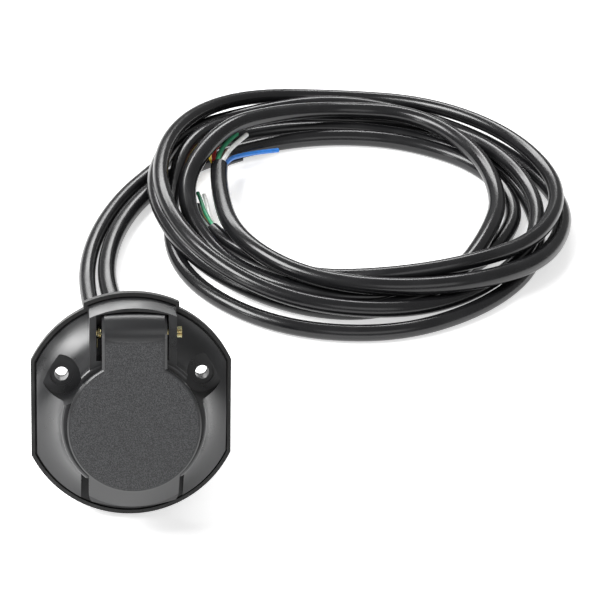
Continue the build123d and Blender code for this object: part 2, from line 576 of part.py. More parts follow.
def inner_cores(x, diameter, contacts):
    """The cores from the end of a jacket inside the boot to their contacts' solder cups."""
    cup = CARRIER_BACK - CONTACT_TAIL
    starts = sorted(core_places(len(contacts), diameter), key=lambda place: atan2(place[1], place[0]))
    ends = sorted(contacts, key=lambda place: atan2(place[1] - OUTLET_V, place[0] - x))
    cores = []
    for start, end in zip(starts, ends):
        low = Vector(x + start[0], OUTLET_V + start[1], JACKET_END + CORE_GAP)
        high = Vector(end[0], end[1], cup - CORE_END_GAP)
        line = high - low
        cores.append(extrude(Plane(low, z_dir=line) * Circle(CORE_BARE), line.length))
    return cores


def on_floor(piece):
    """Lean a socket piece back and set it on the floor."""
    lift = GASKET_FOOT * cos(radians(LEAN)) + GASKET_THICKNESS * sin(radians(LEAN))
    return Pos(0, 0, lift) * Rot(90.0 - LEAN, 0, 0) * piece


def soft_corners(points):
    """The largest arc that each corner of a route has room for."""
    radii = []
    for before, corner, after in zip(points, points[1:], points[2:]):
        first = corner - before
        second = after - corner
        turn = radians(first.get_angle(second))
        radii.append(ROUTE_ARC * min(first.length, second.length) / tan(turn / 2))
    return radii


def lead(name, x, diameter, route, shift):
    """A cable from inside the boot, through its outlet and along the floor to the coil."""
    inside = on_floor(Pos(x, OUTLET_V, JACKET_END)).position
    bend = on_floor(Pos(x, OUTLET_V, BOOT_END - OUTLET_LENGTH - diameter)).position
    points = [inside + Vector(0, shift, 0), bend + Vector(0, shift, 0)]
    points += [Vector(*place) for place in route]
    radii = soft_corners(points)
    path = FilletPolyline(*points, radius=radii)
    start = Plane(points[0], z_dir=points[1] - points[0])
    cable = sweep(start * Circle(diameter / 2), path=path)
    section = pi * diameter ** 2 / 4
    print(f"{name}: length {path.length:.1f}, radii {[round(r) for r in radii]}, "
          f"volume over section x length {cable.volume / (section * path.length):.4f}")
    return cable


def core_ends(end, heading, diameter, routes):
    """The bare cores that fan out of a cable's cut end, one solid for each colour."""
    along = Vector(*heading).normalized()
    right = along.cross(Vector(0, 0, 1))
    cores = {}
    for (colour, route), place in zip(routes.items(), core_places(len(routes), diameter)):
        start = Vector(*end) + right * place[0] + Vector(0, 0, place[1])
        points = [start] + [Vector(*spot) for spot in route]
        path = FilletPolyline(*points, radius=soft_corners(points))
        cores[colour] = sweep(Plane(start, z_dir=points[1] - start) * Circle(diameter / 2), path=path)
    return cores


def cable_coil():
    """Outer shape of the loose coil that both cables are wound into."""
    side = Polyline((COIL_INNER, 0, 0), (COIL_OUTER, 0, 0), (COIL_OUTER, 0, COIL_SHOULDER),
                    (COIL_OUTER - COIL_SLOPE, 0, COIL_HEIGHT), (COIL_INNER + COIL_SLOPE, 0, COIL_HEIGHT),
                    (COIL_INNER, 0, COIL_SHOULDER), close=True)
    return Pos(*COIL_CENTRE, 0) * revolve(make_face(side), Axis.Z)


places = contact_places()
to_cable_a = sorted(places, key=lambda place: -place[0])[:len(CORES_A)]
to_cable_b = [place for place in places if place not in to_cable_a]

socket_pieces = {
    "housing": housing(),
    "flange_gasket": flange_gasket(),
    "lid": lid(),
    "lid_seal": lid_seal(),
    "hinge_pin": hinge_pin(),
    "lid_spring": lid_spring(),
    "contact_carrier": contact_carrier(),
    "carrier_seal": carrier_seal(),
    "carrier_screws": Compound(carrier_screws()),
    "rear_boot": rear_boot(),
    "inner_cores_a": Compound(inner_cores(OUTLET_HALF_SPACING, CORE_A, to_cable_a)),
    "inner_cores_b": Compound(inner_cores(-OUTLET_HALF_SPACING, CORE_B, to_cable_b)),
}
for number, (x, y) in enumerate(places, start=1):
    socket_pieces[f"contact_{number:02d}"] = contact(x, y)

standing = {name: on_floor(piece) for name, piece in socket_pieces.items()}
box = Compound(list(standing.values())).bounding_box()
shift = -(box.min.Y + box.max.Y) / 2
print(f"shift {shift:.3f}, height {box.max.Z:.2f}, depth {box.size.Y:.2f}")
model = {name: Pos(0, shift, 0) * piece for name, piece in standing.items()}
model["cable_a_lead"] = lead("cable_a_lead", OUTLET_HALF_SPACING, CABLE_A, LEAD_A, shift)
model["cable_b_lead"] = lead("cable_b_lead", -OUTLET_HALF_SPACING, CABLE_B, LEAD_B, shift)
model["cable_coil"] = cable_coil()
for colour, piece in core_ends(END_A, HEADING_A, CORE_A, CORES_A).items():
    model[f"core_a_{colour}"] = piece
for colour, piece in core_ends(END_B, HEADING_B, CORE_B, CORES_B).items():
    model[f"core_b_{colour}"] = piece

os.makedirs("parts", exist_ok=True)
for name, piece in model.items():
    export_step(piece, f"parts/{name}.step")
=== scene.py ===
import json
import math
import bpy
import numpy as np
from mathutils import Matrix, Vector


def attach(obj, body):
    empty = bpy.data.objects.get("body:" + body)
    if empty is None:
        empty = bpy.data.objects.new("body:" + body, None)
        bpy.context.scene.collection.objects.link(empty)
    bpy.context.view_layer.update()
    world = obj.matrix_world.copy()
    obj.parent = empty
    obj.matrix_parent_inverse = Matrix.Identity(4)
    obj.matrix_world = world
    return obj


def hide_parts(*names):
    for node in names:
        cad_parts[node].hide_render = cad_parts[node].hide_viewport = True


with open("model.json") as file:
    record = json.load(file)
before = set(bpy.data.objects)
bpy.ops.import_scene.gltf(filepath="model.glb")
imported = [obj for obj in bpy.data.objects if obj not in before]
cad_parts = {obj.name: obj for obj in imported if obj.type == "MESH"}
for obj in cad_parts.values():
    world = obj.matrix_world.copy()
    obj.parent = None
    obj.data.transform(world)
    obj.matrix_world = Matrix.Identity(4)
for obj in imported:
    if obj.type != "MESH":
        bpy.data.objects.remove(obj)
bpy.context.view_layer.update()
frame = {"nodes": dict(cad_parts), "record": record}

# ------------------------------------------------------------------ housing
# The socket's body is one moulding in black glass-filled nylon: a flared skirt around the
# plug's tube, three screw pockets and a block for the lid's hinge. It has a satin surface.
NYLON_BLACK = (0.0085, 0.0088, 0.0095, 1.0)
NYLON_WORN = (0.016, 0.0164, 0.0175, 1.0)
NYLON_ROUGHNESS = 0.31
NYLON_MOTTLE = 90.0          # soft flow marks across the moulding, per metre
NYLON_FIBRE = 1900.0         # glass fibres that print through, per metre
NYLON_FIBRE_DEPTH = 0.00006
NYLON_SPECULAR = 0.62

plug = next(m for m in frame["record"]["mounts"] if m["name"] == "plug_socket")
face_out = Vector(plug["axis"]).normalized()
face_right = Vector((1.0, 0.0, 0.0))
face_up = face_out.cross(face_right)
plug_centre = Vector(plug["pos_m"])


def start_material(name, colour, roughness):
    """A material with one Principled shader, and its object coordinates ready to read."""
    material = bpy.data.materials.new(name)
    material.use_nodes = True
    nodes = material.node_tree.nodes
    shader = nodes["Principled BSDF"]
    shader.inputs["Base Color"].default_value = colour
    shader.inputs["Roughness"].default_value = roughness
    place = nodes.new("ShaderNodeTexCoord").outputs["Object"]
    return material, shader, place


def add(material, kind, links=(), **settings):
    """One more node, with its settings by name and its links as (socket, source) pairs."""
    node = material.node_tree.nodes.new(kind)
    for name, value in settings.items():
        if hasattr(node, name):
            setattr(node, name, value)
        else:
            node.inputs[name.replace("_", " ")].default_value = value
    for socket, source in links:
        material.node_tree.links.new(source, node.inputs[socket])
    return node


def grain(material, place, scale, detail=3.0):
    """Noise at so many features to the metre."""
    return add(material, "ShaderNodeTexNoise", [("Vector", place)], Scale=scale, Detail=detail)


def spread(material, source, low, high, to_low, to_high):
    """Maps a value from one range onto another, held at both ends."""
    node = add(material, "ShaderNodeMapRange", [("Value", source)], From_Min=low, From_Max=high,
               To_Min=to_low, To_Max=to_high)
    return node.outputs["Result"]


def tint(material, shader, source, dark, light):
    """The shader's colour runs from dark to light with the source."""
    mix = add(material, "ShaderNodeMix", data_type="RGBA")
    mix.inputs[6].default_value = dark
    mix.inputs[7].default_value = light
    material.node_tree.links.new(source, mix.inputs[0])
    material.node_tree.links.new(mix.outputs[2], shader.inputs["Base Color"])


def bump(material, shader, source, strength, depth):
    """Relief on the shader, from a height source; depth is in metres."""
    node = add(material, "ShaderNodeBump", [("Height", source)], Strength=strength, Distance=depth)
    material.node_tree.links.new(node.outputs["Normal"], shader.inputs["Normal"])


def roughen(material, shader, source):
    """The shader's roughness follows the source."""
    material.node_tree.links.new(source, shader.inputs["Roughness"])


def finish_node(name, *materials):
    """A CAD piece keeps its shape and takes its finish."""
    piece = frame["nodes"][name]
    piece.data.materials.clear()
    for material in materials:
        piece.data.materials.append(material)


nylon, shader, place = start_material("housing_nylon", NYLON_BLACK, NYLON_ROUGHNESS)
mottle = grain(nylon, place, NYLON_MOTTLE, 4.0).outputs["Fac"]
fibre = grain(nylon, place, NYLON_FIBRE, 2.0).outputs["Fac"]
tint(nylon, shader, spread(nylon, mottle, 0.35, 0.7, 0.0, 1.0), NYLON_BLACK, NYLON_WORN)
roughen(nylon, shader, spread(nylon, mottle, 0.3, 0.7, NYLON_ROUGHNESS - 0.05,
                              NYLON_ROUGHNESS + 0.06))
bump(nylon, shader, fibre, 0.12, NYLON_FIBRE_DEPTH)
shader.inputs["Specular IOR Level"].default_value = NYLON_SPECULAR
finish_node("housing", nylon)

# ------------------------------------------------------------------ flange gasket
# A soft black rubber pad behind the flange keeps water out of the vehicle. Its lip stands up
# around the flange's edge, and its surface is matt with a faint pale bloom.
RUBBER_BLACK = (0.012, 0.012, 0.012, 1.0)
RUBBER_BLOOM = (0.026, 0.026, 0.026, 1.0)
RUBBER_ROUGHNESS = 0.52
BLOOM_SCALE = 130.0
PORE_SCALE = 2600.0
PORE_DEPTH = 0.00008

rubber, shader, place = start_material("gasket_rubber", RUBBER_BLACK, RUBBER_ROUGHNESS)
bloom = grain(rubber, place, BLOOM_SCALE, 5.0).outputs["Fac"]
pores = grain(rubber, place, PORE_SCALE, 2.0).outputs["Fac"]
tint(rubber, shader, spread(rubber, bloom, 0.45, 0.75, 0.0, 1.0), RUBBER_BLACK, RUBBER_BLOOM)
roughen(rubber, shader, spread(rubber, bloom, 0.3, 0.7, 0.46, 0.6))
bump(rubber, shader, pores, 0.2, PORE_DEPTH)
finish_node("flange_gasket", rubber)

# ------------------------------------------------------------------ lid
# The lid is a second nylon moulding. Its round face and tab are spark-eroded to a fine even
# grain. The rim, the hinge knuckle and the finger lip are polished smooth.
LID_BLACK = (0.012, 0.0123, 0.0133, 1.0)
LID_GRAIN_LIGHT = (0.050, 0.051, 0.054, 1.0)
GRAIN_SCALE = 2300.0
GRAIN_DEPTH = 0.00028
GRAINED_RADIUS = 0.0249      # the grain stops short of the rim
GRAINED_TAB_HALF = 0.0112    # and of the tab's long edges
GRAINED_TAB_TOP = 0.0335     # and below the knuckle
LID_FACE = 0.0129            # the lid's face stands this far in front of the plug mount
GRAIN_FADE = 0.0004
KNUCKLE_FADE = 0.0012
LID_ROUGHNESS = 0.42
LID_SPECULAR = 0.55
CELL_SHARE = 0.8             # the pits' cells are this much coarser than their noise

lid_nylon, shader, place = start_material("lid_nylon", LID_BLACK, LID_ROUGHNESS)
shift = add(lid_nylon, "ShaderNodeVectorMath", [(0, place)], operation="SUBTRACT")
shift.inputs[1].default_value = plug_centre
on_face = []
for axis in (face_right, face_up, face_out):
    part = add(lid_nylon, "ShaderNodeVectorMath", [(0, shift.outputs[0])],
               operation="DOT_PRODUCT")
    part.inputs[1].default_value = axis
    on_face.append(part.outputs["Value"])


def below(source, limit, fade):
    """One while the source is under the limit, fading to none."""
    return spread(lid_nylon, source, limit - fade, limit + fade, 1.0, 0.0)


def combine(first, second, operation="MULTIPLY"):
    """A product of two values, or another operation on one or two."""
    node = add(lid_nylon, "ShaderNodeMath", operation=operation)
    lid_nylon.node_tree.links.new(first, node.inputs[0])
    if second is not None:
        lid_nylon.node_tree.links.new(second, node.inputs[1])
    return node.outputs[0]


across, up_face, out_face = on_face
flat = add(lid_nylon, "ShaderNodeCombineXYZ", [(0, across), (1, up_face)])
reach = add(lid_nylon, "ShaderNodeVectorMath", [(0, flat.outputs[0])], operation="LENGTH")
round_face = below(reach.outputs["Value"], GRAINED_RADIUS, GRAIN_FADE)
tab_sides = below(combine(across, None, "ABSOLUTE"), GRAINED_TAB_HALF, GRAIN_FADE)
tab_top = below(up_face, GRAINED_TAB_TOP, KNUCKLE_FADE)
tab_bottom = spread(lid_nylon, up_face, 0.0, 0.001, 0.0, 1.0)
tab_face = combine(combine(tab_sides, tab_top), tab_bottom)
front = spread(lid_nylon, out_face, LID_FACE - 0.0003, LID_FACE - 0.0001, 0.0, 1.0)
grained = combine(combine(round_face, tab_face, "MAXIMUM"), front)
pits = grain(lid_nylon, place, GRAIN_SCALE, 3.0).outputs["Fac"]
cells = add(lid_nylon, "ShaderNodeTexVoronoi", [("Vector", place)], Scale=GRAIN_SCALE * CELL_SHARE)
speckle = spread(lid_nylon, pits, 0.42, 0.62, 0.0, 1.0)
tint(lid_nylon, shader, combine(speckle, grained), LID_BLACK, LID_GRAIN_LIGHT)
height = combine(combine(pits, cells.outputs["Distance"], "ADD"), grained)
bump(lid_nylon, shader, height, 0.55, GRAIN_DEPTH)
roughen(lid_nylon, shader, spread(lid_nylon, grained, 0.0, 1.0, 0.34, 0.62))
shader.inputs["Specular IOR Level"].default_value = LID_SPECULAR
finish_node("lid", lid_nylon)

# The lid's seal is a flat ring of the same rubber as the gasket, pressed into its back.
finish_node("lid_seal", rubber)

# ------------------------------------------------------------------ hinge pin and spring
# A steel pin with a serrated head holds the lid. A torsion spring on it, beside the tab,
# shuts the lid. Both are zinc-plated and yellow-passivated, which leaves a faint rainbow.
ZINC_YELLOW = (0.46, 0.36, 0.17, 1.0)
ZINC_GREEN = (0.36, 0.36, 0.22, 1.0)
SHEEN_SCALE = 700.0

zinc, shader, place = start_material("yellow_zinc", ZINC_YELLOW, 0.3)
shader.inputs["Metallic"].default_value = 1.0
sheen = grain(zinc, place, SHEEN_SCALE, 2.0).outputs["Fac"]
tint(zinc, shader, spread(zinc, sheen, 0.4, 0.6, 0.0, 1.0), ZINC_YELLOW, ZINC_GREEN)
roughen(zinc, shader, spread(zinc, sheen, 0.3, 0.7, 0.24, 0.42))
finish_node("hinge_pin", zinc)

SPRING_ROUND = 0.00208       # wire's middle to the pin's axis
SPRING_WIRE = 0.0004         # radius
SPRING_TURNS = 1.6
SPRING_LONG = 0.00122        # along the pin, between the wire's middles
SPRING_SIDE = -0.01355       # the spring's middle, left of the plug's axis
SPRING_LEG = 0.0065


def new_group(name, sizes):
    """An empty geometry group with named sizes, and its in and out nodes."""
    group = bpy.data.node_groups.new(name, "GeometryNodeTree")
    face = group.interface
    face.new_socket("Geometry", in_out="INPUT", socket_type="NodeSocketGeometry")
    for label, (kind, value) in sizes.items():
        face.new_socket(label, in_out="INPUT", socket_type=kind).default_value = value
    face.new_socket("Geometry", in_out="OUTPUT", socket_type="NodeSocketGeometry")
    return group, group.nodes.new("NodeGroupInput"), group.nodes.new("NodeGroupOutput")


def step(group, kind, links=(), **settings):
    """One geometry node, with its settings by name and its links as (socket, source) pairs."""
    node = group.nodes.new(kind)
    for name, value in settings.items():
        if hasattr(node, name):
            setattr(node, name, value)
        else:
            node.inputs[name.replace("_", " ")].default_value = value
    for socket, source in links:
        group.links.new(source, node.inputs[socket])
    return node.outputs[0]


def close_group(group, last, out, material):
    """Every group ends in real geometry with its material on."""
    real = step(group, "GeometryNodeRealizeInstances", [("Geometry", last)])
    made = step(group, "GeometryNodeSetMaterial", [("Geometry", real)], Material=material)
    group.links.new(made, out.inputs["Geometry"])


def realise(name, mesh, group):
    """Runs a group on a mesh and keeps the result as a plain mesh object."""
    carrier = bpy.data.objects.new(name + "_carrier", mesh)
    bpy.context.scene.collection.objects.link(carrier)
    carrier.modifiers.new("shape", "NODES").node_group = group
    graph = bpy.context.evaluated_depsgraph_get()
    made = bpy.data.meshes.new_from_object(carrier.evaluated_get(graph), depsgraph=graph)
    bpy.data.objects.remove(carrier)
    made.name = name
    piece = bpy.data.objects.new(name, made)
    bpy.context.scene.collection.objects.link(piece)
    return piece


group, inlet, outlet = new_group("torsion_spring", {
    "Wire": ("NodeSocketFloat", SPRING_WIRE), "Radius": ("NodeSocketFloat", SPRING_ROUND),
    "Turns": ("NodeSocketFloat", SPRING_TURNS), "Length": ("NodeSocketFloat", SPRING_LONG)})
helix = step(group, "GeometryNodeCurveSpiral",
             [("Rotations", inlet.outputs["Turns"]), ("Start Radius", inlet.outputs["Radius"]),
              ("End Radius", inlet.outputs["Radius"]), ("Height", inlet.outputs["Length"])],
             Resolution=40)
leg_end = Vector((SPRING_ROUND, -SPRING_LEG, 0.0))
leg = step(group, "GeometryNodeCurvePrimitiveLine", Start=(SPRING_ROUND, 0.0, 0.0), End=leg_end)
wires = group.nodes.new("GeometryNodeJoinGeometry")
group.links.new(helix, wires.inputs[0])
group.links.new(leg, wires.inputs[0])
section = step(group, "GeometryNodeCurvePrimitiveCircle", [("Radius", inlet.outputs["Wire"])],
               Resolution=12)
tubes = step(group, "GeometryNodeCurveToMesh",
             [("Curve", wires.outputs[0]), ("Profile Curve", section)], Fill_Caps=True)
close_group(group, tubes, outlet, zinc)
spring = realise("torsion_spring", bpy.data.meshes.new("spring_seed"), group)
hinge = next(j for j in frame["record"]["behaviour"]["joints"] if j["name"] == "lid_hinge")
spring_start = Vector(hinge["pos_m"])
spring_start += face_right * (SPRING_SIDE - SPRING_LONG / 2)
# The helix runs along the pin; its start lies behind the pin and its leg points down the arm.
spring.data.transform(Matrix((
    (-face_out.x, face_up.x, face_right.x, spring_start.x),
    (-face_out.y, face_up.y, face_right.y, spring_start.y),
    (-face_out.z, face_up.z, face_right.z, spring_start.z), (0.0, 0.0, 0.0, 1.0))))
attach(spring, "socket")
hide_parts("lid_spring")

# ------------------------------------------------------------------ contacts and carrier
# Thirteen brass sleeves stand in a dark grey insulating insert, which is screwed into the tube
# from behind over a rubber seal. They show when the lid is open.
CARRIER_GREY = (0.045, 0.046, 0.048, 1.0)
CARRIER_PALE = (0.065, 0.066, 0.068, 1.0)
BRASS = (0.72, 0.52, 0.24, 1.0)
BRASS_DULL = (0.52, 0.37, 0.17, 1.0)
SCREW_STEEL = (0.55, 0.56, 0.57, 1.0)
STEEL_DULL = (0.50, 0.51, 0.52, 1.0)
STEEL_BRIGHT = (0.66, 0.67, 0.68, 1.0)

insulator, shader, place = start_material("carrier_plastic", CARRIER_GREY, 0.5)
cloud = grain(insulator, place, 240.0, 3.0).outputs["Fac"]
tint(insulator, shader, spread(insulator, cloud, 0.35, 0.7, 0.0, 1.0), CARRIER_GREY, CARRIER_PALE)
bump(insulator, shader, grain(insulator, place, 2200.0, 2.0).outputs["Fac"], 0.15, 0.00006)
finish_node("contact_carrier", insulator)

brass, shader, place = start_material("contact_brass", BRASS, 0.26)
shader.inputs["Metallic"].default_value = 1.0
tarnish = grain(brass, place, 500.0, 3.0).outputs["Fac"]
tint(brass, shader, spread(brass, tarnish, 0.4, 0.7, 0.0, 1.0), BRASS, BRASS_DULL)
roughen(brass, shader, spread(brass, tarnish, 0.3, 0.7, 0.2, 0.4))
for name in frame["nodes"]:
    if name.startswith("contact_") and name != "contact_carrier":
        finish_node(name, brass)

steel, shader, place = start_material("screw_steel", SCREW_STEEL, 0.32)
shader.inputs["Metallic"].default_value = 1.0
brushed = grain(steel, place, 900.0, 2.0).outputs["Fac"]
tint(steel, shader, spread(steel, brushed, 0.3, 0.7, 0.0, 1.0), STEEL_DULL, STEEL_BRIGHT)
finish_node("carrier_screws", steel)
finish_node("carrier_seal", rubber)

# ------------------------------------------------------------------ rear boot
# A thick rubber boot is pushed over the spigot. It closes to a flat end with two ribbed
# outlets, one for each cable, and is a little glossier than the gasket.
BOOT_BLACK = (0.014, 0.014, 0.015, 1.0)
BOOT_BLOOM = (0.030, 0.030, 0.031, 1.0)
BOOT_ROUGHNESS = 0.45

boot_rubber, shader, place = start_material("boot_rubber", BOOT_BLACK, BOOT_ROUGHNESS)
smear = grain(boot_rubber, place, 80.0, 5.0).outputs["Fac"]
tint(boot_rubber, shader, spread(boot_rubber, smear, 0.4, 0.75, 0.0, 1.0), BOOT_BLACK,
     BOOT_BLOOM)
roughen(boot_rubber, shader, spread(boot_rubber, smear, 0.3, 0.7, 0.38, 0.55))
bump(boot_rubber, shader, grain(boot_rubber, place, 1800.0, 2.0).outputs["Fac"], 0.15, 0.00008)
finish_node("rear_boot", boot_rubber)

# ------------------------------------------------------------------ cables
# Two round cables with soft black PVC jackets leave the boot side by side. Each runs back
# along the floor and lies in three loose turns, which settle on and beside each other.
MM = 0.001
CABLE_A = 9.0                # seven cores
CABLE_B = 8.0                # six cores
START_A = (8.0, 27.0, 28.35)          # inside the boot
START_B = (-8.0, 27.0, 28.35)
LEAD_A = [(8.0, 59.53, 11.05), (3.0, 82.0, 5.2), (-5.0, 106.0, 4.5), (-7.2, 131.0, 4.5),
          (-2.5, 158.0, 4.5), (7.5, 183.0, 4.5), (21.0, 203.0, 4.5)]
LEAD_B = [(-8.0, 58.64, 11.52), (-10.5, 82.0, 4.8), (-15.6, 106.0, 4.0), (-16.4, 134.0, 4.0),
          (-10.0, 164.0, 4.0), (3.0, 194.0, 4.0), (20.0, 218.0, 4.0)]
COIL_MIDDLE = (124.5, 183.1)
# Each turn's points: how far out and how high, every thirty degrees clockwise from the
# left, beginning where the lead comes in.
POINTS_PER_TURN = 12
TURNS_A = [(86, 4.6), (71, 4.5), (67.7, 4.5), (74, 4.5), (82, 4.5), (83, 4.5), (73.5, 4.5),
           (71.5, 4.5), (77, 4.8), (80, 5), (87, 5.5),
           (91, 16), (77.8, 24), (74.5, 21), (82, 14), (86, 14), (79.5, 13.5), (72, 13),
           (68, 12.5), (76, 9), (88, 5), (93.5, 5.5), (101, 9),
           (105, 13), (106, 13), (101, 8), (98, 10.5), (97, 8), (101, 7.5), (108, 8.5),
           (100, 11), (89, 14), (80, 14.5), (78.5, 14.5), (77, 14.5)]
TURNS_B = [(103, 4), (85, 4), (77, 4), (81, 4), (90.5, 4), (92, 4), (93, 4), (93.5, 4),
           (102.5, 4), (110, 4), (108, 4),
           (97, 5), (98, 13), (93, 8), (86, 4.5), (87, 6), (88, 11), (92, 12), (93, 10),
           (87, 6), (90, 9), (98, 13), (102, 17),
           (103, 21), (104, 21), (108, 13), (107.5, 6.5), (104, 13), (104, 17), (104, 18.5),
           (93.5, 20), (78.5, 21), (70.5, 16), (70.5, 9)]
END_A = [(50.8, 186.0, 15.0), (53.2, 205.8, 15.0)]
END_B = [(55.8, 145.6, 6.0), (46.8, 161.1, 6.0)]
SETTLE_ROUNDS = 160
SETTLE_CLEAR = 0.15
SETTLE_STEP = 1.2
SETTLE_SHARE = 0.5           # each strand takes half of a needed move
SETTLE_LIFT = 1.6            # strands rather climb than spread
SETTLE_SAG = 0.01            # and sink by this in each round
SPAN_PARTS = 5               # places tried along each span of a route
NEAR_PARTS = 14              # places this near along the same cable are never pushed apart
ON_SPLINE = 0.75             # a point's own weight at its place on the spline
TINY = 1e-6


def turn_points(turns):
    """The coil's points. The spline cuts inside them, so they stand out by as much."""
    turn = 2 * math.pi / POINTS_PER_TURN
    outward = 1 / (ON_SPLINE + (1 - ON_SPLINE) * math.cos(turn))
    points = []
    for number, (radius, height) in enumerate(turns, start=1):
        x = COIL_MIDDLE[0] - radius * outward * math.cos(number * turn)
        y = COIL_MIDDLE[1] + radius * outward * math.sin(number * turn)
        points.append((x, y, height))
    return points


def spline_rows(count, parts):
    """Weights of the control points at places along a spline of order three."""
    rows = []
    for middle in range(1, count - 1):
        for part in range(parts):
            u = part / parts
            row = np.zeros(count)
            row[middle - 1] = (1 - u) ** 2 / 2
            row[middle] = (1 + 2 * u - 2 * u * u) / 2
            row[middle + 1] = u * u / 2
            rows.append(row)
    return np.array(rows)


def settle(routes, widths, held):
    """Moves the routes' free points until no two strands lie in each other or the floor."""
    points = np.array([point for route in routes for point in route], float)
    count = len(points)
    blocks, owner, width, first = [], [], [], 0
    for number, route in enumerate(routes):
        local = spline_rows(len(route), SPAN_PARTS)
        rows = np.zeros((len(local), count))
        rows[:, first:first + len(route)] = local
        blocks.append(rows)
        owner += [number] * len(local)
        width += [widths[number]] * len(local)
        first += len(route)
    weights = np.vstack(blocks)
    owner, width = np.array(owner), np.array(width)
    free = np.array([not fixed for route in held for fixed in route], float)[:, None]
    order = np.arange(len(owner))
    apart = (owner[:, None] != owner[None]) | (abs(order[:, None] - order[None]) > NEAR_PARTS)
    wanted = (width[:, None] + width[None]) / 2 + SETTLE_CLEAR
    total = weights.sum(0)[:, None] + TINY
    for _ in range(SETTLE_ROUNDS):
        at = weights @ points
        gap = at[:, None] - at[None]
        distance = np.sqrt((gap ** 2).sum(2)) + TINY
        lack = np.where(apart, np.maximum(wanted - distance, 0), 0)
        push = gap / distance[..., None]
        push[..., 2] *= SETTLE_LIFT
        crowd = np.maximum((lack > 0).sum(1), 1)[:, None]
        move = (push * lack[..., None]).sum(1) / crowd * SETTLE_SHARE
        move[:, 2] += np.maximum(width / 2 - at[:, 2], 0) * SETTLE_SHARE
        points += free * (weights.T @ move) / total * SETTLE_STEP
        points[:, 2] -= free[:, 0] * SETTLE_SAG
    first, settled = 0, []
    for route in routes:
        settled.append(points[first:first + len(route)].tolist())
        first += len(route)
    return settled


def cord_curve(name, route, width, steps=10):
    """A round tube along one smooth spline; the route is in millimetres."""
    curve = bpy.data.curves.new(name, "CURVE")
    curve.dimensions = "3D"
    spline = curve.splines.new("NURBS")
    spline.points.add(len(route) - 1)
    for point, spot in zip(spline.points, route):
        point.co = (*[value * MM for value in spot], 1.0)
    spline.order_u = 3
    spline.use_endpoint_u = True
    curve.resolution_u = steps
    curve.bevel_depth = width * MM / 2
    curve.bevel_resolution = 7
    curve.use_fill_caps = True
    piece = bpy.data.objects.new(name, curve)
    bpy.context.scene.collection.objects.link(piece)
    return piece


# ------------------------------------------------------------------ cores at the cut ends
# Each cable is cut square and its coloured cores fan out of the jacket. A core is a bundle of
# bare copper strands in a thin PVC sleeve.
CORE_A = 2.4
CORE_B = 2.0
CORE_GAP = 0.1
CORE_DULLING = 0.78
HEADING_A = (0.12, 0.99, 0.0)         # the way each cable points where it is cut
HEADING_B = (-0.5, 0.86, 0.0)
CORES_A = {
    "brown": [(55.2, 214.0, 13.6), (56.5, 221.0, 11.5), (60.0, 228.5, 10.0)],
    "blue": [(58.5, 213.5, 14.4), (66.0, 221.0, 12.0), (76.0, 227.2, 10.0), (87.0, 230.8, 9.0)],
    "white": [(57.6, 214.5, 17.4), (62.6, 222.0, 18.2), (69.5, 231.0, 18.6)],
    "green": [(54.0, 214.5, 18.6), (58.5, 222.0, 19.8), (64.0, 229.0, 20.3)],
    "red": [(50.6, 215.0, 16.6), (53.0, 222.5, 17.6), (58.0, 230.0, 18.0)],
    "yellow": [(49.6, 214.0, 13.8), (49.4, 222.0, 12.5), (52.0, 230.0, 11.5)],
    "black": [(57.2, 213.0, 11.2), (61.5, 220.0, 8.6), (67.0, 225.0, 7.0)],
}
CORES_B = {
    "black": [(43.0, 170.0, 5.6), (41.8, 178.0, 5.0), (41.4, 186.0, 4.4)],
    "white": [(45.8, 172.0, 7.0), (45.6, 180.0, 8.4), (44.2, 187.5, 9.4)],
    "green": [(43.6, 172.0, 8.6), (42.6, 180.0, 9.8), (41.0, 188.0, 10.2)],
    "grey": [(40.8, 170.0, 7.8), (39.4, 178.5, 7.8), (38.6, 189.0, 8.2)],
    "brown": [(40.2, 169.0, 4.6), (37.4, 177.5, 3.8), (36.4, 188.0, 3.6)],
    "yellow": [(44.8, 170.6, 3.0), (44.6, 178.0, 2.0), (43.4, 186.0, 1.6)],
}
CORE_COLOURS = {
    "brown": (0.13, 0.055, 0.03, 1.0), "blue": (0.03, 0.22, 0.72, 1.0),
    "white": (0.88, 0.88, 0.86, 1.0), "green": (0.03, 0.30, 0.14, 1.0),
    "red": (0.66, 0.04, 0.035, 1.0), "yellow": (0.72, 0.52, 0.04, 1.0),
    "black": (0.015, 0.015, 0.016, 1.0), "grey": (0.30, 0.30, 0.31, 1.0),
}
core_finishes = {}
for colour, value in CORE_COLOURS.items():
    sleeve, shader, place = start_material("core_" + colour, value, 0.3)
    dull = tuple(channel * CORE_DULLING for channel in value[:3]) + (1.0,)
    scuff = grain(sleeve, place, 420.0, 3.0).outputs["Fac"]
    tint(sleeve, shader, spread(sleeve, scuff, 0.35, 0.65, 0.0, 1.0), value, dull)
    roughen(sleeve, shader, spread(sleeve, scuff, 0.3, 0.7, 0.3, 0.42))
    core_finishes[colour] = sleeve


def core_routes(end, heading, width, routes):
    """Each core's whole route, from its place in the jacket's round end."""
    along = Vector(heading).normalized()
    right = along.cross(Vector((0.0, 0.0, 1.0)))
    whole = {}
    for number, (colour, route) in enumerate(routes.items()):
        angle = math.radians((number - 1) * 360 / (len(routes) - 1))
        ring = 0.0 if number == 0 else width + CORE_GAP
        start = Vector(end) + right * (ring * math.cos(angle))
        start += Vector((0.0, 0.0, ring * math.sin(angle)))
        whole[colour] = [tuple(start), *route]
    return whole


cores_a = core_routes(END_A[-1], HEADING_A, CORE_A, CORES_A)
cores_b = core_routes(END_B[-1], HEADING_B, CORE_B, CORES_B)

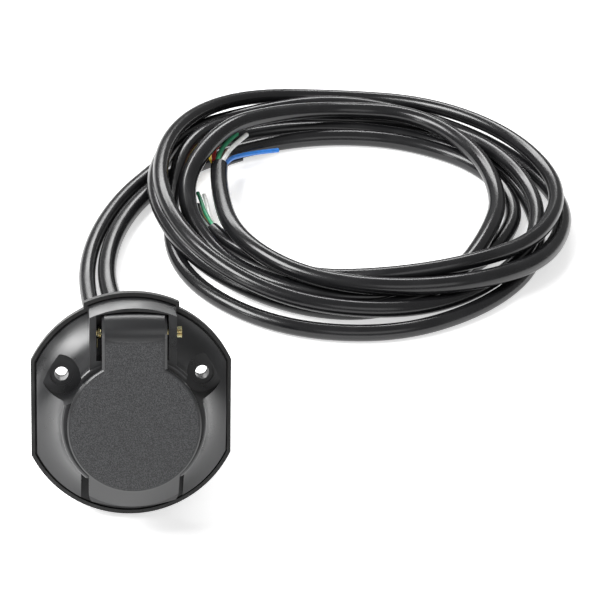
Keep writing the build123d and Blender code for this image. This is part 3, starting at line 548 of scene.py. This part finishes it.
route_a = [START_A, *LEAD_A, *turn_points(TURNS_A), *END_A]
route_b = [START_B, *LEAD_B, *turn_points(TURNS_B), *END_B]
obstacles = [cores_a["green"], cores_a["white"], cores_a["red"]]
all_routes = [route_a, route_b, *obstacles]
all_widths = [CABLE_A, CABLE_B, CORE_A, CORE_A, CORE_A]
HELD_AT_START = 1 + len(LEAD_A)       # the leads and the cut ends stay where they are
held = []
for route in all_routes[:2]:
    free_to = len(route) - len(END_A)
    held.append([not HELD_AT_START <= number < free_to for number in range(len(route))])
held += [[True] * len(route) for route in obstacles]
route_a, route_b = settle(all_routes, all_widths, held)[:2]

CABLE_BLACK = (0.008, 0.008, 0.0088, 1.0)
CABLE_SCUFF = (0.014, 0.014, 0.015, 1.0)
jacket, shader, place = start_material("cable_jacket", CABLE_BLACK, 0.2)
scuff = grain(jacket, place, 60.0, 5.0).outputs["Fac"]
tint(jacket, shader, spread(jacket, scuff, 0.45, 0.75, 0.0, 1.0), CABLE_BLACK, CABLE_SCUFF)
roughen(jacket, shader, spread(jacket, scuff, 0.3, 0.7, 0.17, 0.26))
bump(jacket, shader, grain(jacket, place, 1100.0, 2.0).outputs["Fac"], 0.05, 0.00005)

cable_a = cord_curve("cable_a", route_a, CABLE_A)
cable_b = cord_curve("cable_b", route_b, CABLE_B)
for cable in (cable_a, cable_b):
    cable.data.materials.append(jacket)
    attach(cable, "socket")

core_pieces = {"a": [], "b": []}
for cable_name, routes, width in (("a", cores_a, CORE_A), ("b", cores_b, CORE_B)):
    for colour, route in routes.items():
        piece = cord_curve(f"core_{cable_name}_{colour}_sleeve", route, width, 8)
        piece.data.materials.append(core_finishes[colour])
        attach(piece, "socket")
        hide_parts(f"core_{cable_name}_{colour}")
        core_pieces[cable_name].append(piece)

# The strands of each core show at its cut tip, seven to a core.
STRAND = 0.00022             # radius of one strand, and between its neighbours' middles
STRAND_PROUD = 0.0007
COPPER = (0.80, 0.36, 0.18, 1.0)
COPPER_DULL = (0.50, 0.24, 0.13, 1.0)

copper, shader, place = start_material("copper_strand", COPPER, 0.28)
shader.inputs["Metallic"].default_value = 1.0
dulled = grain(copper, place, 900.0, 2.0).outputs["Fac"]
tint(copper, shader, spread(copper, dulled, 0.35, 0.65, 0.0, 1.0), COPPER, COPPER_DULL)
group, inlet, outlet = new_group("strand_bundles", {
    "Strand": ("NodeSocketFloat", STRAND), "Proud": ("NodeSocketFloat", STRAND_PROUD),
    "Outer strands": ("NodeSocketInt", 6)})
ring = step(group, "ShaderNodeMath", [(0, inlet.outputs["Strand"])], operation="MULTIPLY")
ring.node.inputs[1].default_value = 2.0
strand = step(group, "GeometryNodeMeshCylinder",
              [("Radius", inlet.outputs["Strand"]), ("Depth", inlet.outputs["Proud"])], Vertices=10)
spots = step(group, "GeometryNodeMeshCircle",
             [("Vertices", inlet.outputs["Outer strands"]), ("Radius", ring)])
outer = step(group, "GeometryNodeInstanceOnPoints", [("Points", spots), ("Instance", strand)])
bundle = group.nodes.new("GeometryNodeJoinGeometry")
group.links.new(outer, bundle.inputs[0])
group.links.new(strand, bundle.inputs[0])
along = step(group, "GeometryNodeInputNamedAttribute", data_type="FLOAT_VECTOR", Name="along")
turned = step(group, "FunctionNodeAlignRotationToVector", [("Vector", along)], axis="Z")
placed = step(group, "GeometryNodeInstanceOnPoints",
              [("Points", inlet.outputs["Geometry"]), ("Instance", bundle.outputs[0]),
               ("Rotation", turned)])
close_group(group, placed, outlet, copper)
for cable_name, routes in (("a", cores_a), ("b", cores_b)):
    tips = bpy.data.meshes.new("core_tips")
    tips.from_pydata([[value * MM for value in route[-1]] for route in routes.values()], [], [])
    course = tips.attributes.new("along", "FLOAT_VECTOR", "POINT")
    for number, route in enumerate(routes.values()):
        course.data[number].vector = (Vector(route[-1]) - Vector(route[-2])).normalized()
    strands = realise(f"core_{cable_name}_strands", tips, group)
    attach(strands, "socket")
    core_pieces[cable_name].append(strands)

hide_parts("cable_a_lead", "cable_coil")
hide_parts("cable_b_lead", "cable_coil")

for name in ("inner_cores_a", "inner_cores_b"):
    finish_node(name, core_finishes["white"])

# ------------------------------------------------------------------ floor, light and camera
# The object lies on a plain white floor, lit from below so that it takes hardly a shadow.
# Long soft panels behind it and at its left draw the streaks on the cables and the flare.
WHITE = (1.0, 1.0, 1.0, 1.0)
PAPER_WHITE = (0.93, 0.93, 0.93, 1.0)
PAPER_GLOW = 0.55
SKY_STRENGTH = 0.32

bpy.ops.mesh.primitive_plane_add(size=12.0, location=(0.0, 0.0, 0.0))
floor = bpy.context.object
floor.name = "floor"
paper, shader, place = start_material("white_paper", PAPER_WHITE, 0.9)
shader.inputs["Emission Color"].default_value = WHITE
shader.inputs["Emission Strength"].default_value = PAPER_GLOW
floor.data.materials.append(paper)

world = bpy.data.worlds.new("studio")
bpy.context.scene.world = world
world.use_nodes = True
world.node_tree.nodes["Background"].inputs["Color"].default_value = WHITE
world.node_tree.nodes["Background"].inputs["Strength"].default_value = SKY_STRENGTH


def panel(name, at, aim, width, depth, power):
    """A rectangular soft light that faces its aim."""
    light = bpy.data.lights.new(name, "AREA")
    light.shape = "RECTANGLE"
    light.size, light.size_y = width, depth
    light.energy = power
    lamp = bpy.data.objects.new(name, light)
    bpy.context.scene.collection.objects.link(lamp)
    lamp.location = at
    lamp.rotation_euler = (Vector(aim) - Vector(at)).to_track_quat("-Z", "Y").to_euler()


panel("behind", (-0.15, 1.35, 1.05), (0.06, 0.12, 0.0), 1.5, 0.34, 17.0)
panel("upper_left", (-0.85, -0.05, 1.1), (0.0, 0.02, 0.03), 0.85, 0.6, 25.0)
panel("left_front", (-1.25, -0.75, 0.32), (0.0, 0.0, 0.04), 0.18, 0.7, 3.0)
panel("camera_fill", (0.5, -1.3, 1.1), (0.05, 0.1, 0.0), 1.2, 0.8, 4.0)

LENS = 102.0
SENSOR = 36.0
NEAREST = 0.02
CAMERA_AT = Vector((-0.0255, -0.53484, 0.4973))
DOWN, TURN, ROLL = (math.radians(angle) for angle in (37.2, 9.8, 5.6))
sight = Vector((math.sin(TURN) * math.cos(DOWN), math.cos(TURN) * math.cos(DOWN),
                -math.sin(DOWN)))
level = Vector((math.cos(TURN), -math.sin(TURN), 0.0))
upright = level.cross(sight)
right = level * math.cos(ROLL) + upright * math.sin(ROLL)
top = upright * math.cos(ROLL) - level * math.sin(ROLL)
camera_data = bpy.data.cameras.new("camera")
camera_data.lens = LENS
camera_data.sensor_width = SENSOR
camera_data.clip_start = NEAREST
camera = bpy.data.objects.new("camera", camera_data)
bpy.context.scene.collection.objects.link(camera)
camera.matrix_world = Matrix((
    (right.x, top.x, -sight.x, CAMERA_AT.x), (right.y, top.y, -sight.y, CAMERA_AT.y),
    (right.z, top.z, -sight.z, CAMERA_AT.z), (0.0, 0.0, 0.0, 1.0)))
bpy.context.scene.camera = camera
bpy.context.scene.view_settings.view_transform = "Standard"
